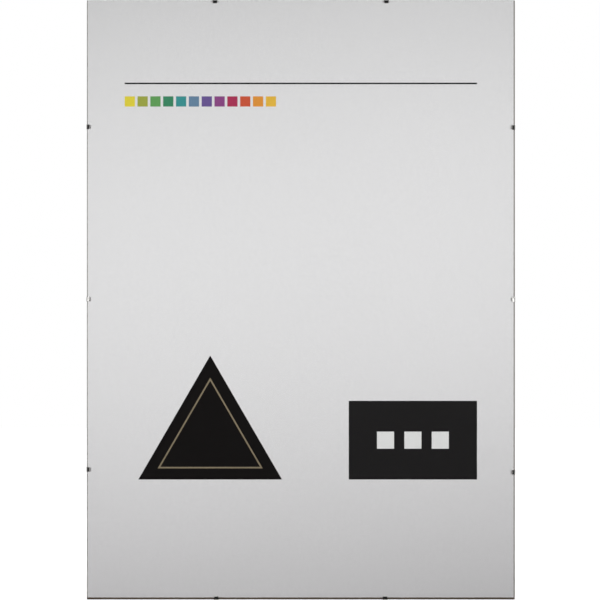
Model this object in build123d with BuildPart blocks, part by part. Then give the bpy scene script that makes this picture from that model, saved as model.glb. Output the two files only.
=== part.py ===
"""Frameless clip frame: a glass pane, a printed sheet and a hardboard back, held by spring clips.

The front faces -Y and +Z is up. The origin lies on the hardboard's back face, at the height where
a nail bears in the upper hanging ring. All sizes are in millimetres.
"""

from build123d import *

import os
from math import asin, cos, radians, sin, tan

# Sandwich of pane, sheet and hardboard
glass_width = 500.0
glass_height = 700.0
glass_thickness = 2.0
glass_arris = 0.35  # ground edge all round the pane
board_thickness = 3.0
board_margin = 0.2  # from the pane's edge to the hardboard's, all round
sheet_thickness = 0.2
sheet_side_margin = 0.9  # from the pane's edge to the sheet's, if the sheet lay in the middle
sheet_end_margin = 1.25
sheet_shift_left = 0.2  # the sheet has slipped a little to the left and up
sheet_shift_up = 0.85
air_gap = 0.05  # between the sheet and its neighbours

# Spring clips
clip_pitch_short = 200.0  # between the clips of a short side
clip_pitch_long = 200.0  # between neighbouring clips of a long side
clip_play = 4.0  # how far a clip can slide from the middle of its slot, each way
clip_steel = 0.5  # thickness of the spring steel
clip_leg_width = 10.0
clip_nose_width = 5.6
clip_tip_width = 4.6
clip_tip_rounding = 0.8
clip_shoulder_rounding = 3.0
clip_taper_start = 4.0  # the leg widens from here, measured from the pane's edge
clip_taper_end = 9.5
clip_reach = 3.4  # how far the nose lies over the pane
clip_curl_radius = 0.8  # convex side of the rolled tip, which bears on the pane
clip_curl_angle = 50.0  # how far the tip is rolled up, in degrees
clip_nose_lift = 5.0  # slope of the nose away from the pane, in degrees
clip_front_bend = 0.8
clip_back_bend = 1.1
clip_crest_bend = 12.0
clip_root_bend = 0.7
clip_edge_clearance = 0.15  # between the pane's edge and the clip's web
clip_glass_clearance = 0.03
clip_heel_height = 1.6  # of the steel's middle above the hardboard, at the pane's edge
clip_crest_height = 2.7
clip_crest_inset = 7.0
clip_root_height = 0.7
tang_depth = 1.3
tang_slope = 20.0  # of the tang in its slot, in degrees
tang_rounding = 1.0
tang_clearance = 0.12
slot_inset = 16.0  # from the pane's edge to the slot's outer wall
slot_end_clearance = 0.25
slot_floor_clearance = 0.3

# Hanging rings and their straps
hang_drop = 32.0  # from the pane's edge to where the nail bears
ring_wire = 2.0
ring_height = 11.0  # from the bar to the top of the arch, between the middles of the wire
ring_corner = 2.0
ring_side_clearance = 1.0  # between the strap and the ring's corners
ring_board_clearance = 0.05
strap_steel = 0.8
strap_width = 9.0
strap_tail = 6.5  # beyond the rivet
strap_corner = 2.5
strap_fold_gap = 0.05
strap_fold_slope = 45.0  # of the upper layer as it comes down behind the bar, in degrees
strap_fold_bend = 0.9
bar_clearance = 0.06

# Rivets and washers that fasten the straps
rivet_distance = 10.5  # from the ring's bar
rivet_shank = 3.0
rivet_bore = 1.8
rivet_head = 6.0
rivet_head_height = 0.6
rivet_head_rounding = 0.4
rivet_rim = 4.6
rivet_rim_height = 0.4
rivet_rim_rounding = 0.25
rivet_clearance = 0.05
washer_width = 6.4
washer_thickness = 0.4
counterbore_side_clearance = 0.2
counterbore_floor_clearance = 0.05

cut_overrun = 4.0  # how far cuts run past what they cut

# Each clip's side, its place in pitches from the side's middle, and its share of the play
clip_place_shares = {
    "clip_top_left": ("top", -0.5, -0.1),
    "clip_top_right": ("top", 0.5, 0.0),
    "clip_bottom_left": ("bottom", -0.5, 0.3),
    "clip_bottom_right": ("bottom", 0.5, -0.4),
    "clip_left_upper": ("left", 1, 0.55),
    "clip_left_middle": ("left", 0, 0.25),
    "clip_left_lower": ("left", -1, 0.5),
    "clip_right_upper": ("right", 1, 0.35),
    "clip_right_middle": ("right", 0, 0.1),
    "clip_right_lower": ("right", -1, -0.35),
}

# Each hanger lies in the middle of the side that is uppermost when the frame hangs from it
hanger_sides = {"portrait": "top", "landscape": "right"}

# Heights towards the front, measured from the hardboard's back face
sheet_back = board_thickness + air_gap
glass_back = sheet_back + sheet_thickness + air_gap
glass_front = glass_back + glass_thickness

# The pane's middle, measured from where the nail bears
middle_height = hang_drop - glass_height / 2

# A clip's tang where it crosses the slot's mouth, and its two ends, in the plane of its edge
tang_lean = radians(tang_slope)
tang_mouth = -slot_inset - (clip_steel / 2 + tang_clearance) / cos(tang_lean)
tang_root = (tang_mouth + clip_root_height * tan(tang_lean), clip_root_height)
tang_tip = (tang_mouth - tang_depth * tan(tang_lean), -tang_depth)
slot_width = -tang_tip[0] + clip_steel / 2 - slot_inset + slot_end_clearance
slot_depth = tang_depth + clip_steel / 2 * sin(tang_lean) + slot_floor_clearance
slot_length = clip_leg_width + 2 * clip_play + slot_width

# The middle of a clip's rolled tip is the axis that the clip swings about
pivot_inset = clip_reach - clip_curl_radius * sin(radians(clip_curl_angle))
pivot_height = glass_front + clip_glass_clearance + clip_curl_radius

# A ring leans on its bar until the top of its arch rests on the hardboard
wire_radius = ring_wire / 2
bar_height = strap_steel + bar_clearance + wire_radius
ring_lean = asin((bar_height - wire_radius - ring_board_clearance) / ring_height)
ring_bar_length = strap_width + 2 * (ring_side_clearance + ring_corner)
bar_inset = hang_drop + (ring_height - wire_radius) * cos(ring_lean)
rivet_inset = bar_inset + rivet_distance
strap_length = rivet_distance + strap_tail
counterbore_depth = washer_thickness + rivet_rim_height + counterbore_floor_clearance


def edge_plane(side, along=0):
    """Plane across an edge of the pane: x points out of the pane, y towards the wall."""
    outward = {"left": (-1, 0, 0), "right": (1, 0, 0), "top": (0, 0, 1), "bottom": (0, 0, -1)}
    x_dir = Vector(outward[side])
    if side in ("left", "right"):
        origin = (x_dir.X * glass_width / 2, 0, middle_height + along)
    else:
        origin = (along, 0, middle_height + x_dir.Z * glass_height / 2)
    return Plane(origin=origin, x_dir=x_dir, z_dir=x_dir.cross(Vector(0, 1, 0)))


def back_plane(plane):
    """Plane that faces the wall, with the same origin and x as the plane given."""
    return Plane(origin=plane.origin, x_dir=plane.x_dir, z_dir=(0, 1, 0))


def front_plane(height, shift_right=0, shift_up=0):
    """Plane that faces the front, at a height above the hardboard's back face."""
    centre = (shift_right, -height, middle_height + shift_up)
    return Plane(origin=centre, x_dir=(1, 0, 0), z_dir=(0, -1, 0))


def slot_place(side, pitches):
    """Middle of a clip's slot, measured along its side."""
    return pitches * (clip_pitch_long if side in ("left", "right") else clip_pitch_short)


def make_glass():
    """Clear pane with ground edges."""
    with BuildPart() as glass:
        with BuildSketch(front_plane(glass_back)):
            Rectangle(glass_width, glass_height)
        extrude(amount=glass_thickness)
        chamfer(glass.faces().filter_by(Axis.Y).edges(), glass_arris)
    return glass


def make_sheet():
    """Printed sheet between the pane and the hardboard."""
    with BuildPart() as sheet:
        with BuildSketch(front_plane(sheet_back, -sheet_shift_left, sheet_shift_up)):
            Rectangle(glass_width - 2 * sheet_side_margin, glass_height - 2 * sheet_end_margin)
        extrude(amount=sheet_thickness)
    return sheet


def make_board():
    """Hardboard back with a slot for each clip and a counterbored hole for each rivet."""
    with BuildPart() as board:
        with BuildSketch(front_plane(0)):
            Rectangle(glass_width - 2 * board_margin, glass_height - 2 * board_margin)
        extrude(amount=board_thickness)
        for side, pitches, _ in clip_place_shares.values():
            with BuildSketch(back_plane(edge_plane(side, slot_place(side, pitches)))):
                with Locations((-slot_inset - slot_width / 2, 0)):
                    SlotOverall(slot_length, slot_width, rotation=90)
            extrude(amount=-slot_depth, mode=Mode.SUBTRACT)
        for side in hanger_sides.values():
            back = back_plane(edge_plane(side))
            with BuildSketch(back):
                with Locations((-rivet_inset, 0)):
                    Circle(rivet_shank / 2 + rivet_clearance)
            extrude(amount=-board_thickness, mode=Mode.SUBTRACT)
            with BuildSketch(back.offset(-board_thickness)):
                with Locations((-rivet_inset, 0)):
                    Circle(washer_width / 2 + counterbore_side_clearance)
            extrude(amount=counterbore_depth, mode=Mode.SUBTRACT)
    return board


def make_clip(side, pitches, play_share):
    """Spring clip: rolled tip, nose over the pane, web round the edge, arched leg and tang."""
    seat = edge_plane(side, slot_place(side, pitches) + play_share * clip_play)
    middle_radius = clip_curl_radius - clip_steel / 2
    lift = radians(clip_nose_lift)
    nose_start = (
        -pivot_inset + middle_radius * sin(lift),
        -pivot_height + middle_radius * cos(lift),
    )
    web = clip_edge_clearance + clip_steel / 2
    front_corner = (web, nose_start[1] - (web - nose_start[0]) * tan(lift))
    leg_end = tang_tip[0] - cut_overrun
    with BuildPart() as clip:
        with BuildSketch(seat):
            with BuildLine():
                CenterArc(
                    (-pivot_inset, -pivot_height),
                    middle_radius,
                    start_angle=90 + clip_curl_angle,
                    arc_size=-(clip_curl_angle + clip_nose_lift),
                )
                FilletPolyline(
                    nose_start,
                    front_corner,
                    (web, clip_heel_height),
                    (-clip_crest_inset, clip_crest_height),
                    tang_root,
                    tang_tip,
                    radius=[clip_front_bend, clip_back_bend, clip_crest_bend, clip_root_bend],
                )
            trace(line_width=clip_steel)
        extrude(amount=clip_leg_width / 2, both=True)
        with BuildSketch(back_plane(seat)):
            with BuildLine():
                FilletPolyline(
                    (leg_end, clip_leg_width / 2),
                    (-clip_taper_end, clip_leg_width / 2),
                    (-clip_taper_start, clip_nose_width / 2),
                    (cut_overrun, clip_nose_width / 2),
                    radius=clip_shoulder_rounding,
                )
                Line((cut_overrun, clip_nose_width / 2), (cut_overrun, 0))
                Line((leg_end, 0), (leg_end, clip_leg_width / 2))
                mirror(about=Plane.XZ)
            make_face()
        extrude(amount=pivot_height + cut_overrun, both=True, mode=Mode.INTERSECT)
        with BuildSketch(back_plane(seat).offset(-glass_front)):
            with Locations((-clip_reach / 2, 0)):
                Rectangle(clip_reach + cut_overrun, clip_nose_width + cut_overrun)
            with BuildLine():
                FilletPolyline(
                    (cut_overrun, clip_nose_width / 2),
                    (0, clip_nose_width / 2),
                    (-clip_reach, clip_tip_width / 2),
                    (-clip_reach, -clip_tip_width / 2),
                    (0, -clip_nose_width / 2),
                    (cut_overrun, -clip_nose_width / 2),
                    close=True,
                    radius=clip_tip_rounding,
                )
            make_face(mode=Mode.SUBTRACT)
        extrude(amount=-(clip_curl_radius + cut_overrun), mode=Mode.SUBTRACT)
        tang_end = clip.faces().sort_by_distance(seat.from_local_coords(tang_tip))[0]
        fillet(tang_end.edges().sort_by(SortBy.LENGTH)[:2], tang_rounding)
    return clip


def make_ring(side):
    """Wire ring in the shape of a D, leaning with the top of its arch against the hardboard."""
    edge = edge_plane(side)
    bar_middle = edge.from_local_coords((-bar_inset, bar_height))
    facing = edge.from_local_coords((sin(ring_lean), cos(ring_lean))) - edge.origin
    with BuildSketch(Plane(origin=bar_middle, x_dir=edge.z_dir, z_dir=facing)) as outline:
        with BuildLine():
            Line((-ring_bar_length / 2, 0), (ring_bar_length / 2, 0))
            ThreePointArc((-ring_bar_length / 2, 0), (0, ring_height), (ring_bar_length / 2, 0))
        make_face()
        fillet(outline.vertices(), ring_corner)
    with BuildPart() as ring:
        with BuildSketch(Plane(origin=bar_middle, z_dir=edge.z_dir)):
            Circle(wire_radius)
        sweep(path=outline.sketch.face().outer_wire())
    return ring


def make_strap(side):
    """Steel strip folded round the ring's bar, its two layers lying on the hardboard."""
    edge = edge_plane(side)
    foot = Plane(origin=edge.from_local_coords((-bar_inset, 0)), x_dir=edge.x_dir, z_dir=edge.z_dir)
    loop_radius = wire_radius + bar_clearance + strap_steel / 2
    slope = radians(strap_fold_slope)
    fold_start = (-loop_radius * sin(slope), bar_height + loop_radius * cos(slope))
    upper_layer = 1.5 * strap_steel + strap_fold_gap
    fold_end = fold_start[0] - (fold_start[1] - upper_layer) / tan(slope)
    with BuildPart() as strap:
        with BuildSketch(foot):
            with BuildLine():
                Line((-strap_length, strap_steel / 2), (0, strap_steel / 2))
                CenterArc((0, bar_height), loop_radius, -90, 180 + strap_fold_slope)
                FilletPolyline(
                    fold_start,
                    (fold_end, upper_layer),
                    (-strap_length, upper_layer),
                    radius=strap_fold_bend,
                )
            trace(line_width=strap_steel)
        extrude(amount=strap_width / 2, both=True)
        with BuildSketch(back_plane(foot)) as plan:
            with Locations(((cut_overrun - strap_length) / 2, 0)):
                Rectangle(strap_length + cut_overrun, strap_width)
            fillet(plan.vertices().group_by(Axis.X)[0], strap_corner)
        extrude(amount=bar_height + cut_overrun, mode=Mode.INTERSECT)
        with BuildSketch(back_plane(foot)):
            with Locations((-rivet_distance, 0)):
                Circle(rivet_shank / 2 + rivet_clearance)
        extrude(amount=bar_height + cut_overrun, mode=Mode.SUBTRACT)
    return strap


def rivet_plane(side):
    """Plane through a rivet's axis: x is its radius and y points towards the wall."""
    edge = edge_plane(side)
    foot = edge.from_local_coords((-rivet_inset, 0))
    return Plane(origin=foot, x_dir=edge.x_dir, z_dir=edge.z_dir)


def make_rivet(side):
    """Tubular rivet: rounded head on the strap, rolled rim on the washer in the hardboard."""
    plane = rivet_plane(side)
    head_seat = 2 * strap_steel + strap_fold_gap
    rim_seat = -board_thickness + counterbore_depth - washer_thickness
    with BuildPart() as rivet:
        with BuildSketch(plane) as half:
            with BuildLine():
                Polyline(
                    (rivet_bore / 2, rim_seat - rivet_rim_height),
                    (rivet_rim / 2, rim_seat - rivet_rim_height),
                    (rivet_rim / 2, rim_seat),
                    (rivet_shank / 2, rim_seat),
                    (rivet_shank / 2, head_seat),
                    (rivet_head / 2, head_seat),
                    (rivet_head / 2, head_seat + rivet_head_height),
                    (rivet_bore / 2, head_seat + rivet_head_height),
                    close=True,
                )
            make_face()
            fillet(half.vertices().group_by(Axis.Y)[-1], rivet_head_rounding)
            fillet(half.vertices().group_by(Axis.Y)[0], rivet_rim_rounding)
        revolve(axis=Axis(plane.origin, plane.y_dir))
    return rivet


def make_washer(side):
    """Flat steel washer under the rivet's rim, sunk into the hardboard's front face."""
    seat = back_plane(rivet_plane(side)).offset(-board_thickness + counterbore_depth)
    with BuildPart() as washer:
        with BuildSketch(seat):
            Circle(washer_width / 2)
            Circle(rivet_shank / 2 + rivet_clearance, mode=Mode.SUBTRACT)
        extrude(amount=-washer_thickness)
    return washer


def save(piece, name):
    """Label a finished piece and write it to its own file."""
    piece.part.label = name
    export_step(piece.part, f"parts/{name}.step")


os.makedirs("parts", exist_ok=True)
save(make_glass(), "front_glass")
save(make_sheet(), "print_sheet")
save(make_board(), "backing_board")
for clip_name, clip_place in clip_place_shares.items():
    save(make_clip(*clip_place), clip_name)
for hanger, hanger_side in hanger_sides.items():
    save(make_ring(hanger_side), f"hanger_ring_{hanger}")
    save(make_strap(hanger_side), f"hanger_strap_{hanger}")
    save(make_rivet(hanger_side), f"hanger_rivet_{hanger}")
    save(make_washer(hanger_side), f"hanger_washer_{hanger}")
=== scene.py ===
"""Looks of a frameless clip frame: glass pane, printed sheet, hardboard, spring clips and rings."""

from math import cos, pi, radians, sin

import bmesh
import bpy
from mathutils import Euler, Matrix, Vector


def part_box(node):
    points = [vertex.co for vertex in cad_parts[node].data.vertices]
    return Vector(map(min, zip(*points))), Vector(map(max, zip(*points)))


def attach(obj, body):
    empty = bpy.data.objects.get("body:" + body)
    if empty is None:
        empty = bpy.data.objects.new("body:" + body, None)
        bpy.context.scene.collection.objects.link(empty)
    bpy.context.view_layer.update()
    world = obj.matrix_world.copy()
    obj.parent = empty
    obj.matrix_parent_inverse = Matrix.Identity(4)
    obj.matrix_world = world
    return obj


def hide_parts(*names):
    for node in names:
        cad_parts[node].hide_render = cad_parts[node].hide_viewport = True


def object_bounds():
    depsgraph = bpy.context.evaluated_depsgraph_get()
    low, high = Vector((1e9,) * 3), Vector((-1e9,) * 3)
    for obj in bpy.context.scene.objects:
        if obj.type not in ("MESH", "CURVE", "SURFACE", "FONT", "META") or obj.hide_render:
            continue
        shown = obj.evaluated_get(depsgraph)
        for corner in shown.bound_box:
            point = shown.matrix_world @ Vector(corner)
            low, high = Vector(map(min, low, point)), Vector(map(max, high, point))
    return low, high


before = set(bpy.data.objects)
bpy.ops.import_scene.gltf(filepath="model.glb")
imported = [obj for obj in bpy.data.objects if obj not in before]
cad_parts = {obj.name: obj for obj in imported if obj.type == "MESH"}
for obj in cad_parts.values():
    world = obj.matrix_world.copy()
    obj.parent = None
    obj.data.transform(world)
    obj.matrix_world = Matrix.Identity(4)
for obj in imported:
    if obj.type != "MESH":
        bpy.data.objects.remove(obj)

cad_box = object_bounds()
MM = 0.001

# The pane in the photograph, in pixels
image_size_px = 600
pane_left_px = 84.2
pane_right_px = 517.5
pane_top_px = 0.4
pane_bottom_px = 599.4

# The camera: its distance from the pane, its sensor's width in millimetres, and how far it sees
camera_distance = 3.0
camera_sensor = 36.0
camera_reach = 100

# A face looks straight ahead or straight back where the Y of its normal is past this
straight = 0.99

# The glass: its ground edge, its refractive index, and the tint and roughness of face and edge.
# The edge's tint is partly the glass's own green and partly painted shade, made dark for a dim room
# seen through the edge.
arris = 0.35 * MM
glass_index = 1.52
clear_tint = (0.985, 1.0, 0.993)
clear_roughness = 0.0
ground_edge_green_and_painted_shade = (0.13, 0.21, 0.18)
ground_roughness = 0.4

# The sheet's design, measured from the pane's upper left corner
rule_drop = 96 * MM
rule_left = 44 * MM
rule_length = 412 * MM
rule_width = 1.8 * MM
swatch_drop = 112 * MM
swatch_size = 12 * MM
swatch_gap = 3 * MM
shape_foot_drop = 560 * MM
triangle_left = 60 * MM
triangle_width = 168 * MM
triangle_height = 145 * MM
triangle_line_inset = 13 * MM
triangle_line_width = 1.8 * MM
block_left = 306 * MM
block_width = 150 * MM
block_height = 92 * MM
square_size = 20 * MM
square_gap = 12 * MM
square_count = 3

# Points of the design nearer than this are one point, and faces of one ink that turn by less than
# this angle are one face
print_snap = 0.001 * MM
print_bend = radians(1)

# Colours of the sheet, in linear light
sheet_inks = {
    "paper_printed_grey": (0.785, 0.775, 0.782),
    "paper_bare": (0.83, 0.83, 0.82),
    "ink_black": (0.0055, 0.0045, 0.0045),
    "ink_charcoal": (0.0135, 0.0125, 0.013),
    "ink_tan": (0.25, 0.205, 0.135),
}
swatch_inks = {
    "ink_lemon": (0.78, 0.66, 0.06),
    "ink_olive": (0.36, 0.40, 0.07),
    "ink_leaf": (0.13, 0.36, 0.11),
    "ink_pine": (0.05, 0.25, 0.13),
    "ink_teal": (0.05, 0.30, 0.30),
    "ink_slate": (0.14, 0.24, 0.36),
    "ink_violet": (0.15, 0.10, 0.30),
    "ink_plum": (0.27, 0.07, 0.24),
    "ink_crimson": (0.42, 0.04, 0.10),
    "ink_vermilion": (0.62, 0.10, 0.05),
    "ink_tangerine": (0.76, 0.30, 0.05),
    "ink_amber": (0.80, 0.48, 0.06),
}

# Noises: lumps to the metre, octaves of finer lumps, and the strength that each octave keeps
mottle_noise = (260, 4, 0.5)
grain_noise = (3500, 3, 0.5)
fibre_noise = (900, 6, 0.65)
fleck_noise = (240, 3, 0.6)
cloud_noise = (14, 3, 0.5)
streak_noise = (1, 4, 0.6)
plating_noise = (220, 3, 0.5)

# Most of a noise lies between these
noise_span = (0.3, 0.7)

# The sheet's surface: the shade of an ink at two heights of its mottle, and how rough it is, how
# much it shines and how deep its grain is
mottle_shades = ((0.3, 0.975), (0.7, 1.02))
sheet_roughness = (0.3, 0.42)
sheet_specular = 0.3
sheet_grain_depth = 0.001 * MM

# Hardboard: three noises, each with a share, are mixed, and each colour of its fibres, in linear
# light, belongs to a height of that mix. The colours are darker in front of the first of two places
# along Y, and at their full lightness behind the second. That darkening is partly the smooth face's
# own darker tone and partly painted shade of the gap between the glass and the board at the sheet's
# margins.
fibre_share = 0.6
fleck_share = 0.24
fleck_stretch = (1, 1, 0.6)
cloud_share = 0.16
fibre_colours = (
    (0.3, (0.115, 0.052, 0.022)),
    (0.5, (0.215, 0.108, 0.05)),
    (0.72, (0.33, 0.185, 0.095)),
)
# Share of lightness on the front: partly the face's own tone, partly painted shade of the gap
# behind the glass
hardboard_front_tone_and_painted_shade = 0.4
hardboard_face_fade = (-2.95 * MM, -2.6 * MM)
hardboard_roughness = (0.72, 0.5)

# The wire mesh that the hardboard's back was pressed on: its pitch, how its wires waver, the
# places along Y between which its print sets in, how deep that is, and the fibres' share in it
mesh_pitch = 1.4 * MM
mesh_waver = 0.6
mesh_waver_octaves = 1
mesh_print_fade = (-0.2 * MM, -0.05 * MM)
mesh_print_depth = 0.15 * MM
fibre_relief = 0.35

# A Wave texture with a scale of 1 turns through so many radians in a metre
wave_turn = 20

# Plated metals: the shade at three heights of the plating's clouds, and for each metal its colour
# in linear light, its least and most roughness, its streaks to the metre along each axis, and how
# deep these are
plating_shades = ((0.25, 0.86), (0.6, 1), (0.85, 1.08))
level_streaks = (160, 5000, 5000)
upright_streaks = (5000, 5000, 160)
spring_steel = (0.74, 0.73, 0.71)
spring_roughness = (0.06, 0.13)
metals = {
    "spring_steel_level": (spring_steel, spring_roughness, level_streaks, 0.002 * MM),
    "spring_steel_upright": (spring_steel, spring_roughness, upright_streaks, 0.002 * MM),
    "ring_nickel": ((0.72, 0.71, 0.68), (0.1, 0.2), (700, 700, 700), 0.003 * MM),
    "strap_zinc": ((0.58, 0.59, 0.60), (0.26, 0.44), upright_streaks, 0.006 * MM),
    "rivet_nickel": ((0.66, 0.65, 0.61), (0.18, 0.3), (900, 900, 900), 0.004 * MM),
}

# The metal of each kind of CAD node, by the first two words of the node's name
node_metals = {
    "clip_left": "spring_steel_level",
    "clip_right": "spring_steel_level",
    "clip_top": "spring_steel_upright",
    "clip_bottom": "spring_steel_upright",
    "hanger_ring": "ring_nickel",
    "hanger_strap": "strap_zinc",
    "hanger_rivet": "rivet_nickel",
    "hanger_washer": "rivet_nickel",
}

# The floor: its reach each way, how far it lies below the frame, the colour and roughness with
# which it lights the frame back, the paler colour that is seen, and the glow at two distances
# from the frame that takes this to white
floor_reach = 4
floor_gap = 0.1 * MM
floor_bounce = (0.32, 0.28, 0.31)
floor_roughness = 0.9
floor_pale = (0.8, 0.8, 0.8)
floor_glow_distances = (0.3, 1.0)
floor_glow_strengths = (0.58, 1.0)

# What shiny things mirror of the studio: dim straight ahead, where the camera stands, and white
# behind, turning between two values of the direction's Y. The flanks before the frame are lighter:
# each ramp has the sideways share of the direction where it starts, the one where it ends, and the
# strength of white there.
studio_ahead = 0.015
studio_turn = (-0.45, 0.35)
flank_ramps = ((0.086, 0.096, 0.1), (0.1, 0.75, 0.4))

# Lit slots in the studio, level with the camera: two before the frame, just outside what the pane
# mirrors, that the middle clips of the long sides shine with, and two like them behind it. The
# core is the share of a slot's radius at full strength.
slot_azimuth = radians(5.55)
slot_radius = radians(0.7)
slot_core = 0.8
slot_strength = 5

# How strongly the white studio lights dull things
studio_fill = 0.1

# Softboxes: size, power in watts, and the spread of the beam in radians
front_softbox = ((0.35, 0.74), 1.88, 0.98)
back_softbox = ((0.7, 0.7), 3.2, 1.2)

# Each softbox with its place and the point it is aimed at. The front pair leaves the foot dimmer.
lamps = {
    "front_softbox_left": ((-0.95, -1.25, -0.23), (-0.22, 0, -0.29), *front_softbox),
    "back_softbox_left": ((-0.9, 1.4, 0.25), (0, 0, -0.3), *back_softbox),
    "front_softbox_right": ((0.95, -1.25, -0.23), (0.22, 0, -0.19), *front_softbox),
    "back_softbox_right": ((0.9, 1.4, 0.25), (0, 0, -0.3), *back_softbox),
}


def node(tree, kind, **settings):
    """A new node, with its own settings."""
    made = tree.nodes.new(kind)
    for name, value in settings.items():
        setattr(made, name, value)
    return made


def new_material(name):
    """A new material with its tree and its Principled shader."""
    material = bpy.data.materials.new(name)
    material.use_nodes = True
    tree = material.node_tree
    return material, tree, tree.nodes["Principled BSDF"]


def object_place(tree, scale=(1, 1, 1)):
    """Place on the piece in metres, stretched by scale."""
    place = node(tree, "ShaderNodeTexCoord")
    mapping = node(tree, "ShaderNodeMapping")
    mapping.inputs["Scale"].default_value = scale
    tree.links.new(place.outputs["Object"], mapping.inputs["Vector"])
    return mapping.outputs["Vector"]


def noise(tree, place, lumps, octaves, strength):
    """Noise from 0 to 1 with so many lumps to the metre."""
    made = node(tree, "ShaderNodeTexNoise")
    made.inputs["Scale"].default_value = lumps
    made.inputs["Detail"].default_value = octaves
    made.inputs["Roughness"].default_value = strength
    tree.links.new(place, made.inputs["Vector"])
    return made.outputs["Fac"]


def ramp(tree, value, stops):
    """Colours picked by a value from 0 to 1."""
    made = node(tree, "ShaderNodeValToRGB")
    elements = made.color_ramp.elements
    while len(elements) < len(stops):
        elements.new(0.5)
    for element, (position, colour) in zip(elements, stops):
        element.position = position
        element.color = (*colour, 1)
    tree.links.new(value, made.inputs["Fac"])
    return made.outputs["Color"]


def spread(tree, value, low, high, to_low, to_high):
    """A value taken from one range to another."""
    made = node(tree, "ShaderNodeMapRange")
    for name, number in (
        ("From Min", low),
        ("From Max", high),
        ("To Min", to_low),
        ("To Max", to_high),
    ):
        made.inputs[name].default_value = number
    tree.links.new(value, made.inputs["Value"])
    return made.outputs["Result"]


def maths(tree, operation, first, second):
    """Two values combined. Each is a socket or a number."""
    made = node(tree, "ShaderNodeMath", operation=operation)
    for slot, value in zip(made.inputs, (first, second)):
        if isinstance(value, (int, float)):
            slot.default_value = value
        else:
            tree.links.new(value, slot)
    return made.outputs[0]


def weighed(tree, *terms):
    """Values added up, each times its weight. Both are sockets or numbers."""
    total = None
    for value, weight in terms:
        term = maths(tree, "MULTIPLY", value, weight)
        total = term if total is None else maths(tree, "ADD", total, term)
    return total


def bump(tree, shader, height, depth):
    """Relief so many metres deep where height goes from 0 to 1."""
    made = node(tree, "ShaderNodeBump")
    made.inputs["Distance"].default_value = depth
    tree.links.new(height, made.inputs["Height"])
    tree.links.new(made.outputs["Normal"], shader.inputs["Normal"])


def colour_socket(sockets, name):
    """The colour socket of a Mix node, which has others of the same name."""
    return next(s for s in sockets if s.name == name and s.type == "RGBA")


def is_seen(tree, path):
    """1 where a ray comes from the camera, straight or through the glass, and 0 for other rays."""
    straight_on, through_glass = path.outputs["Is Camera Ray"], path.outputs["Is Transmission Ray"]
    return maths(tree, "MAXIMUM", straight_on, through_glass)


def shaded(colour, shade):
    """A colour made lighter or darker."""
    return tuple(min(1.0, c * shade) for c in colour)


def make_printed(name, ink):
    """Ink on satin coated paper, with a faint mottle and the paper's own grain."""
    material, tree, shader = new_material(name)
    place = object_place(tree)
    mottle = noise(tree, place, *mottle_noise)
    stops = [(height, shaded(ink, shade)) for height, shade in mottle_shades]
    tree.links.new(ramp(tree, mottle, stops), shader.inputs["Base Color"])
    grain = noise(tree, place, *grain_noise)
    tree.links.new(spread(tree, grain, 0, 1, *sheet_roughness), shader.inputs["Roughness"])
    shader.inputs["Specular IOR Level"].default_value = sheet_specular
    bump(tree, shader, grain, sheet_grain_depth)
    return material


def make_glass(name, tint, roughness):
    """Clear glass that lets the lamps' light and the sheet's own through unbent."""
    material, tree, glass = new_material(name)
    glass.inputs["Base Color"].default_value = (*tint, 1)
    glass.inputs["Roughness"].default_value = roughness
    glass.inputs["IOR"].default_value = glass_index
    glass.inputs["Transmission Weight"].default_value = 1
    open_air = node(tree, "ShaderNodeBsdfTransparent")
    path = node(tree, "ShaderNodeLightPath")
    shown = glass.outputs["BSDF"]
    for kind in ("Is Shadow Ray", "Is Reflection Ray"):
        mix = node(tree, "ShaderNodeMixShader")
        tree.links.new(path.outputs[kind], mix.inputs["Fac"])
        tree.links.new(shown, mix.inputs[1])
        tree.links.new(open_air.outputs["BSDF"], mix.inputs[2])
        shown = mix.outputs["Shader"]
    tree.links.new(shown, tree.nodes["Material Output"].inputs["Surface"])
    return material


def make_hardboard():
    """Brown pressed fibre: smooth in front and darker there, partly its own tone and partly painted
    shade, the print of a wire mesh on the paler back.
    """
    material, tree, shader = new_material("pressed_hardboard")
    place = object_place(tree)
    fibres = noise(tree, place, *fibre_noise)
    flecks = noise(tree, object_place(tree, fleck_stretch), *fleck_noise)
    clouds = noise(tree, place, *cloud_noise)
    mixed = weighed(tree, (fibres, fibre_share), (flecks, fleck_share), (clouds, cloud_share))
    parts = node(tree, "ShaderNodeSeparateXYZ")
    tree.links.new(place, parts.inputs["Vector"])
    at_back = spread(tree, parts.outputs["Y"], *hardboard_face_fade, 0, 1)
    sides = node(tree, "ShaderNodeMix", data_type="RGBA")
    tree.links.new(at_back, sides.inputs["Factor"])
    # The front's colours are darkened: partly the face's own tone, partly painted shade of the gap
    # behind the glass
    for socket, shade in (("A", hardboard_front_tone_and_painted_shade), ("B", 1)):
        stops = [(height, shaded(colour, shade)) for height, colour in fibre_colours]
        tree.links.new(ramp(tree, mixed, stops), colour_socket(sides.inputs, socket))
    tree.links.new(colour_socket(sides.outputs, "Result"), shader.inputs["Base Color"])
    roughness = spread(tree, fibres, *noise_span, *hardboard_roughness)
    tree.links.new(roughness, shader.inputs["Roughness"])
    wires = []
    for direction in ("X", "Z"):
        wave = node(tree, "ShaderNodeTexWave", bands_direction=direction)
        wave.inputs["Scale"].default_value = 2 * pi / (wave_turn * mesh_pitch)
        wave.inputs["Distortion"].default_value = mesh_waver
        wave.inputs["Detail"].default_value = mesh_waver_octaves
        tree.links.new(place, wave.inputs["Vector"])
        wires.append(wave.outputs["Fac"])
    wire_mesh = maths(tree, "MAXIMUM", *wires)
    on_back = spread(tree, parts.outputs["Y"], *mesh_print_fade, 0, 1)
    relief = weighed(tree, (wire_mesh, on_back), (fibres, fibre_relief))
    bump(tree, shader, relief, mesh_print_depth)
    return material


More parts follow.
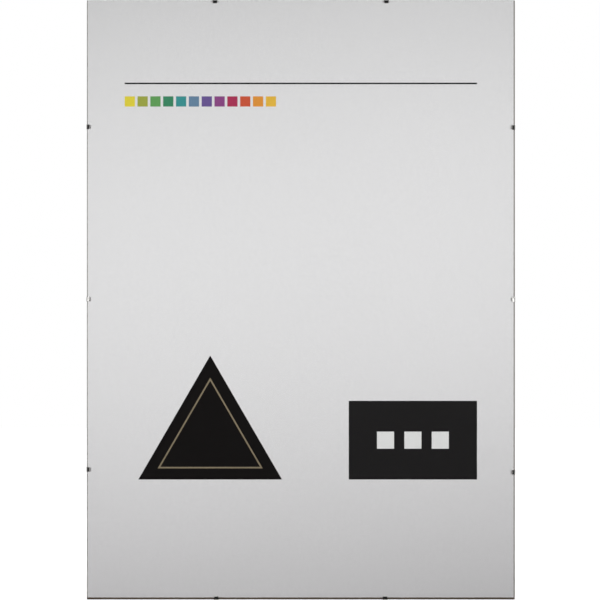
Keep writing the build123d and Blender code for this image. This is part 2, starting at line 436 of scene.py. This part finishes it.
def make_metal(name, colour, roughness, streaks, depth):
    """Plated steel: rolling streaks, a cloudy shine and faint pits."""
    material, tree, shader = new_material(name)
    shader.inputs["Metallic"].default_value = 1
    drawn = noise(tree, object_place(tree, streaks), *streak_noise)
    clouds = noise(tree, object_place(tree), *plating_noise)
    stops = [(height, shaded(colour, shade)) for height, shade in plating_shades]
    tree.links.new(ramp(tree, clouds, stops), shader.inputs["Base Color"])
    mean = maths(tree, "MULTIPLY", maths(tree, "ADD", drawn, clouds), 0.5)
    tree.links.new(spread(tree, mean, *noise_span, *roughness), shader.inputs["Roughness"])
    bump(tree, shader, drawn, depth)
    return material


def to_mesh(made, name):
    """A mesh from a bmesh, which is freed."""
    mesh = bpy.data.meshes.new(name)
    made.to_mesh(mesh)
    made.free()
    return mesh


def to_scene(name, data):
    """A new object of the scene."""
    made = bpy.data.objects.new(name, data)
    bpy.context.scene.collection.objects.link(made)
    return made


def finish_piece(made, name, materials, body, slot, *stands_for):
    """Turn a bmesh into a piece that rides on a body and stands for CAD nodes."""
    bmesh.ops.recalc_face_normals(made, faces=made.faces)
    mesh = to_mesh(made, name)
    for material in materials:
        mesh.materials.append(material)
    piece = to_scene(name, mesh)
    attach(piece, body)
    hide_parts(*stands_for)


def box_bmesh(low, high):
    """A box between two corners."""
    made = bmesh.new()
    bmesh.ops.create_cube(made, size=1)
    bmesh.ops.scale(made, vec=high - low, verts=made.verts)
    bmesh.ops.translate(made, vec=(low + high) / 2, verts=made.verts)
    return made


def faces_front(face):
    """Whether a face looks straight ahead."""
    return face.normal.y < -straight


def make_pane():
    """Glass pane, its faces clear and its edges ground."""
    made = box_bmesh(*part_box("front_glass"))
    rims = [e for e in made.edges if abs(e.verts[0].co.y - e.verts[1].co.y) < arris]
    bmesh.ops.bevel(
        made, geom=rims, offset=arris, segments=1, profile=0.5, affect="EDGES", material=-1
    )
    made.normal_update()
    for face in made.faces:
        face.material_index = 0 if abs(face.normal.y) > straight else 1
    materials = [
        make_glass("clear_glass", clear_tint, clear_roughness),
        # The ground edge's dark tint is partly the glass's green, partly painted shade
        make_glass("ground_glass_edge", ground_edge_green_and_painted_shade, ground_roughness),
    ]
    finish_piece(made, "glass_pane", materials, "sandwich", "glass", "front_glass")


def cut_shape(made, corners, index):
    """Cut a convex shape out of the sheet's front, its corners given clockwise, and ink it."""
    faces = [f for f in made.faces if faces_front(f)]
    for start, end in zip(corners, corners[1:] + corners[:1]):
        along = end - start
        inward = Vector((along.z, 0, -along.x)).normalized()
        geometry = list({g for f in faces for g in [f, *f.edges, *f.verts]})
        cut = bmesh.ops.bisect_plane(
            made, geom=geometry, dist=print_snap, plane_co=start, plane_no=inward
        )
        pieces = [g for g in cut["geom"] if isinstance(g, bmesh.types.BMFace)]
        faces = [f for f in pieces if (f.calc_center_median() - start).dot(inward) > 0]
    for face in faces:
        face.material_index = index


def clear_cut_lines(made):
    """Join what the cuts parted between shapes, so that faces part only where the ink changes."""
    bmesh.ops.remove_doubles(made, verts=made.verts, dist=print_snap)
    bmesh.ops.dissolve_limit(
        made,
        angle_limit=print_bend,
        use_dissolve_boundaries=False,
        verts=made.verts,
        edges=made.edges,
        delimit={"MATERIAL"},
    )


def rectangle(corner, width, height):
    """Corners of an upright rectangle, clockwise from its upper left."""
    right, down = Vector((width, 0, 0)), Vector((0, 0, -height))
    return [corner, corner + right, corner + right + down, corner + down]


def inset_triangle(corners, depth):
    """Corners of a triangle drawn in by a depth along all its sides."""
    a, b, c = corners
    lengths = [(c - b).length, (a - c).length, (b - a).length]
    middle = (a * lengths[0] + b * lengths[1] + c * lengths[2]) / sum(lengths)
    inner_radius = (b - a).cross(c - a).length / sum(lengths)
    return [middle + (corner - middle) * (1 - depth / inner_radius) for corner in corners]


def make_sheet():
    """Printed sheet: pale grey with a rule, a row of swatches, a lined triangle and a block."""
    low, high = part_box("print_sheet")
    pane_low, pane_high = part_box("front_glass")
    corner = Vector((pane_low.x, low.y, pane_high.z))
    made = box_bmesh(low, high)
    inks = {**sheet_inks, **swatch_inks}
    slots = list(inks)
    for face in made.faces:
        paper = "paper_printed_grey" if faces_front(face) else "paper_bare"
        face.material_index = slots.index(paper)

    def at(right, down):
        return corner + Vector((right, 0, -down))

    def draw(corners, ink):
        cut_shape(made, corners, slots.index(ink))

    draw(rectangle(at(rule_left, rule_drop), rule_length, rule_width), "ink_black")
    for place, name in enumerate(swatch_inks):
        left = rule_left + place * (swatch_size + swatch_gap)
        draw(rectangle(at(left, swatch_drop), swatch_size, swatch_size), name)
    foot = at(triangle_left, shape_foot_drop)
    peak = foot + Vector((triangle_width / 2, 0, triangle_height))
    triangle = [peak, foot + Vector((triangle_width, 0, 0)), foot]
    draw(triangle, "ink_black")
    draw(inset_triangle(triangle, triangle_line_inset), "ink_tan")
    draw(inset_triangle(triangle, triangle_line_inset + triangle_line_width), "ink_black")
    block_corner = at(block_left, shape_foot_drop - block_height)
    draw(rectangle(block_corner, block_width, block_height), "ink_charcoal")
    row_width = square_count * square_size + (square_count - 1) * square_gap
    square_left = block_left + (block_width - row_width) / 2
    square_drop = shape_foot_drop - (block_height + square_size) / 2
    for place in range(square_count):
        left = square_left + place * (square_size + square_gap)
        draw(rectangle(at(left, square_drop), square_size, square_size), "paper_bare")
    clear_cut_lines(made)
    materials = [make_printed(name, ink) for name, ink in inks.items()]
    finish_piece(made, "insert_sheet", materials, "sandwich", "insert_paper", "print_sheet")


def dress(name, material):
    """Give a CAD node its finish."""
    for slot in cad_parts[name].material_slots:
        slot.material = material


def dress_nodes():
    """Finishes of the nodes whose shape is already right."""
    dress("backing_board", make_hardboard())
    finishes = {name: make_metal(name, *look) for name, look in metals.items()}
    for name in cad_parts:
        kind = "_".join(name.split("_")[:2])
        if kind in node_metals:
            dress(name, finishes[node_metals[kind]])


def make_pale_floor():
    """Floor finish: pale and glowing where it is seen, darker where it lights the frame back."""
    material, tree, shader = new_material("pale_floor")
    shader.inputs["Base Color"].default_value = (*floor_bounce, 1)
    shader.inputs["Roughness"].default_value = floor_roughness
    pale = node(tree, "ShaderNodeBsdfDiffuse")
    pale.inputs["Color"].default_value = (*floor_pale, 1)
    place = node(tree, "ShaderNodeTexCoord")
    distance = node(tree, "ShaderNodeVectorMath", operation="LENGTH")
    flat = node(tree, "ShaderNodeVectorMath", operation="MULTIPLY")
    flat.inputs[1].default_value = (1, 1, 0)
    tree.links.new(place.outputs["Object"], flat.inputs[0])
    tree.links.new(flat.outputs["Vector"], distance.inputs[0])
    glow = node(tree, "ShaderNodeEmission")
    strength = spread(tree, distance.outputs["Value"], *floor_glow_distances, *floor_glow_strengths)
    tree.links.new(strength, glow.inputs["Strength"])
    both = node(tree, "ShaderNodeAddShader")
    tree.links.new(pale.outputs["BSDF"], both.inputs[0])
    tree.links.new(glow.outputs["Emission"], both.inputs[1])
    path = node(tree, "ShaderNodeLightPath")
    seen = is_seen(tree, path)
    mix = node(tree, "ShaderNodeMixShader")
    tree.links.new(seen, mix.inputs["Fac"])
    tree.links.new(shader.outputs["BSDF"], mix.inputs[1])
    tree.links.new(both.outputs["Shader"], mix.inputs[2])
    tree.links.new(mix.outputs["Shader"], tree.nodes["Material Output"].inputs["Surface"])
    return material


def make_floor():
    """Floor, white wherever no shadow lies on it. Shiny things mirror the studio in its place."""
    made = bmesh.new()
    bmesh.ops.create_grid(made, x_segments=1, y_segments=1, size=floor_reach)
    ground = cad_box[0].z - floor_gap
    bmesh.ops.translate(made, vec=(0, 0, ground), verts=made.verts)
    mesh = to_mesh(made, "floor")
    mesh.materials.append(make_pale_floor())
    floor = to_scene("floor", mesh)
    floor.visible_glossy = False


def make_world():
    """White backdrop. Shiny things mirror a studio, dim ahead, lighter aside, with lit slots."""
    world = bpy.data.worlds.new("studio")
    bpy.context.scene.world = world
    world.use_nodes = True
    tree = world.node_tree
    path = node(tree, "ShaderNodeLightPath")
    direction = node(tree, "ShaderNodeTexCoord")
    parts = node(tree, "ShaderNodeSeparateXYZ")
    tree.links.new(direction.outputs["Generated"], parts.inputs["Vector"])
    mirrored = spread(tree, parts.outputs["Y"], *studio_turn, studio_ahead, 1.0)
    folded = node(tree, "ShaderNodeVectorMath", operation="ABSOLUTE")
    tree.links.new(direction.outputs["Generated"], folded.inputs[0])
    aside = node(tree, "ShaderNodeSeparateXYZ")
    tree.links.new(folded.outputs["Vector"], aside.inputs["Vector"])
    for near, far, brightness in flank_ramps:
        flank = spread(tree, aside.outputs["X"], near, far, 0, brightness)
        mirrored = maths(tree, "MAXIMUM", mirrored, flank)
    toward = node(tree, "ShaderNodeVectorMath", operation="DOT_PRODUCT")
    tree.links.new(folded.outputs["Vector"], toward.inputs[0])
    toward.inputs[1].default_value = (sin(slot_azimuth), cos(slot_azimuth), 0)
    rim, core = cos(slot_radius), cos(slot_radius * slot_core)
    slots = spread(tree, toward.outputs["Value"], rim, core, 0, slot_strength)
    seen = is_seen(tree, path)
    studio = maths(tree, "MAXIMUM", mirrored, slots)
    shine = maths(tree, "MULTIPLY", path.outputs["Is Glossy Ray"], studio)
    fill = spread(tree, path.outputs["Is Diffuse Ray"], 0, 1, 0, studio_fill)
    strength = maths(tree, "MAXIMUM", maths(tree, "MAXIMUM", seen, shine), fill)
    background = tree.nodes["Background"]
    background.inputs["Color"].default_value = (1, 1, 1, 1)
    tree.links.new(strength, background.inputs["Strength"])


def make_lamp(name, place, target, size, watts, cone):
    """Softbox aimed at a point. Shiny things don't mirror it, but the studio round it."""
    light = bpy.data.lights.new(name, "AREA")
    light.shape = "RECTANGLE"
    light.size, light.size_y = size
    light.energy = watts
    light.spread = cone
    lamp = to_scene(name, light)
    lamp.location = place
    lamp.rotation_euler = (Vector(target) - Vector(place)).to_track_quat("-Z", "Y").to_euler()
    lamp.visible_glossy = False


def make_lights():
    """The softboxes on both sides of the frame."""
    for name, setting in lamps.items():
        make_lamp(name, *setting)


def make_camera():
    """Camera square to the pane, so that the pane fills the picture as in the photograph."""
    pane_low, pane_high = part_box("front_glass")
    pane_height = pane_high.z - pane_low.z
    px_per_metre = (pane_bottom_px - pane_top_px) / pane_height
    view_height = image_size_px / px_per_metre
    data = bpy.data.cameras.new("camera")
    data.sensor_width = camera_sensor
    data.lens = camera_sensor * camera_distance / view_height
    data.clip_end = camera_reach
    camera = to_scene("camera", data)
    middle = (pane_low + pane_high) / 2
    right_px = (pane_left_px + pane_right_px - image_size_px) / 2
    down_px = (pane_top_px + pane_bottom_px - image_size_px) / 2
    camera.location = (
        middle.x - right_px / px_per_metre,
        pane_low.y - camera_distance,
        middle.z + down_px / px_per_metre,
    )
    camera.rotation_euler = Euler((pi / 2, 0, 0))
    bpy.context.scene.camera = camera


make_pane()
make_sheet()
dress_nodes()
make_floor()
make_world()
make_lights()
make_camera()
bpy.context.scene.view_settings.view_transform = "Standard"
